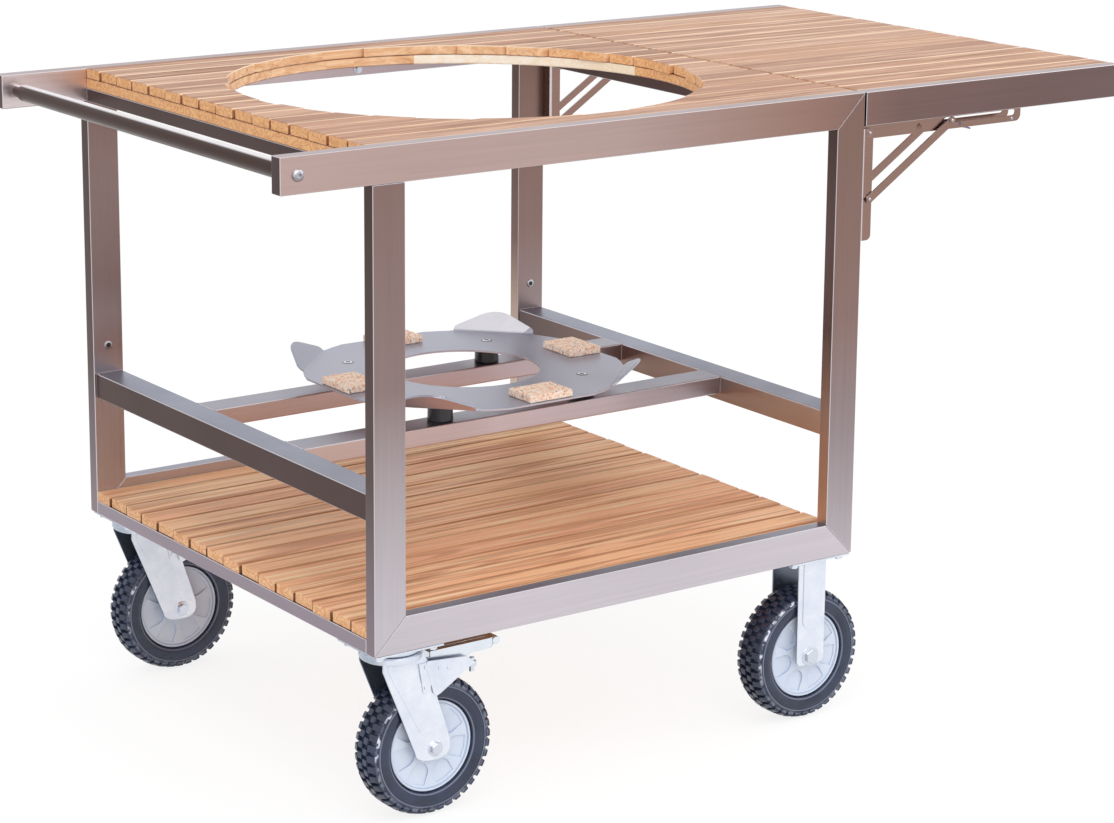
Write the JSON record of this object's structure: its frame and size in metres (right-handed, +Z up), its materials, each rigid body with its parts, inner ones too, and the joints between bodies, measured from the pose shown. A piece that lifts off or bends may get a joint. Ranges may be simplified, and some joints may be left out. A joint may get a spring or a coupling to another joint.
{
  "type": "kamado grill table",
  "caption": "Rolling steel table with a slatted teak deck cut out for a round ceramic grill, a stand plate, a lower shelf and a fold-down side leaf.",
  "frame": {"origin": "middle of the table's box, on the floor", "axes": "+X along the table from the push handle to the folding leaf, +Y to the back, +Z up"},
  "size_m": [1.486, 0.829, 0.947],
  "materials": {
    "steel": "brushed",
    "teak": "oiled",
    "bracket_steel": "satin",
    "plate_steel": "polished",
    "zinc": "zinc plated",
    "rubber": "matte",
    "rim": "matte",
    "pad": "rough"
  },
  "bodies": {
    "table": {"top_rail_front": "steel", "left_leg_front": "steel", "bottom_rail_front": "steel", "right_leg_front": "steel", "top_rail_back": "steel", "left_leg_back": "steel", "bottom_rail_back": "steel", "right_leg_back": "steel", "deck_crossbar_left": "steel", "deck_crossbar_right": "steel", "shelf_crossbar_left": "steel", "shelf_crossbar_right": "steel", "middle_crossbar_left": "steel", "middle_crossbar_right": "steel", "middle_rail_front": "steel", "middle_rail_back": "steel", "handle_bar": "steel", "handle_screw_front": "zinc", "handle_screw_back": "zinc", "deck": "teak", "shelf": "teak", "bracket_wall_front": "bracket_steel", "bracket_wall_back": "bracket_steel", "stand_plate": "plate_steel", "foot_front_left": "rubber", "foot_front_right": "rubber", "foot_back_left": "rubber", "foot_back_right": "rubber", "pad_left": "pad", "pad_right": "pad", "pad_front": "pad", "pad_back": "pad", "swivel_plate_front": "zinc", "swivel_plate_back": "zinc", "fixed_fork_front": "zinc", "fixed_fork_back": "zinc"},
    "leaf": {"leaf_rail_front": "steel", "leaf_rail_back": "steel", "leaf_crossbar_near": "steel", "leaf_crossbar_far": "steel", "leaf_deck": "teak", "bracket_arm_front": "bracket_steel", "bracket_arm_back": "bracket_steel"},
    "strut_front": {"bracket_strut_front": "bracket_steel"},
    "lever_front": {"bracket_lever_front": "zinc"},
    "strut_back": {"bracket_strut_back": "bracket_steel"},
    "lever_back": {"bracket_lever_back": "zinc"},
    "swivel_front": {"swivel_fork_front": "zinc"},
    "braked_wheel_front": {"swivel_rim_front": "rim", "swivel_tyre_front": "rubber"},
    "pedal_front": {"brake_pedal_front": "zinc"},
    "fixed_wheel_front": {"fixed_rim_front": "rim", "fixed_tyre_front": "rubber"},
    "swivel_back": {"swivel_fork_back": "zinc"},
    "braked_wheel_back": {"swivel_rim_back": "rim", "swivel_tyre_back": "rubber"},
    "pedal_back": {"brake_pedal_back": "zinc"},
    "fixed_wheel_back": {"fixed_rim_back": "rim", "fixed_tyre_back": "rubber"}
  },
  "joints": [
    {"name": "leaf_fold", "type": "hinge", "parent": "table", "child": "leaf", "pos_m": [0.2426, 0, 0.886], "axis": [0, 1, 0], "range_deg": [0, 90]},
    {"name": "strut_front_turn", "type": "hinge", "parent": "table", "child": "strut_front", "pos_m": [0.2426, -0.389, 0.789], "axis": [0, 1, 0], "range_deg": [0, 121.5]},
    {"name": "lever_front_press", "type": "hinge", "parent": "leaf", "child": "lever_front", "pos_m": [0.4206, -0.389, 0.883], "axis": [0, -1, 0], "range_deg": [0, 14], "stiffness_Nm_per_rad": 0.4, "springref_deg": -11.46},
    {"name": "strut_back_turn", "type": "hinge", "parent": "table", "child": "strut_back", "pos_m": [0.2426, 0.389, 0.789], "axis": [0, 1, 0], "range_deg": [0, 121.5]},
    {"name": "lever_back_press", "type": "hinge", "parent": "leaf", "child": "lever_back", "pos_m": [0.4206, 0.389, 0.883], "axis": [0, -1, 0], "range_deg": [0, 14], "stiffness_Nm_per_rad": 0.4, "springref_deg": -11.46},
    {"name": "swivel_front_turn", "type": "hinge", "parent": "table", "child": "swivel_front", "pos_m": [-0.548, -0.358, 0.24], "axis": [0, 0, 1], "continuous": true},
    {"name": "braked_wheel_front_spin", "type": "hinge", "parent": "swivel_front", "child": "braked_wheel_front", "pos_m": [-0.496, -0.358, 0.1], "axis": [0, 1, 0], "continuous": true},
    {"name": "pedal_front_lift", "type": "hinge", "parent": "swivel_front", "child": "pedal_front", "pos_m": [-0.515, -0.358, 0.22], "axis": [0, -1, 0], "range_deg": [0, 6]},
    {"name": "fixed_wheel_front_spin", "type": "hinge", "parent": "table", "child": "fixed_wheel_front", "pos_m": [0.172, -0.358, 0.1], "axis": [0, 1, 0], "continuous": true},
    {"name": "swivel_back_turn", "type": "hinge", "parent": "table", "child": "swivel_back", "pos_m": [-0.548, 0.358, 0.24], "axis": [0, 0, 1], "continuous": true},
    {"name": "braked_wheel_back_spin", "type": "hinge", "parent": "swivel_back", "child": "braked_wheel_back", "pos_m": [-0.496, 0.358, 0.1], "axis": [0, 1, 0], "continuous": true},
    {"name": "pedal_back_lift", "type": "hinge", "parent": "swivel_back", "child": "pedal_back", "pos_m": [-0.515, 0.358, 0.22], "axis": [0, -1, 0], "range_deg": [0, 6]},
    {"name": "fixed_wheel_back_spin", "type": "hinge", "parent": "table", "child": "fixed_wheel_back", "pos_m": [0.172, 0.358, 0.1], "axis": [0, 1, 0], "continuous": true}
  ],
  "couplings": [
    {"joint": "strut_front_turn", "follows": "leaf_fold", "ratio": 1.35},
    {"joint": "strut_back_turn", "follows": "leaf_fold", "ratio": 1.35}
  ]
}
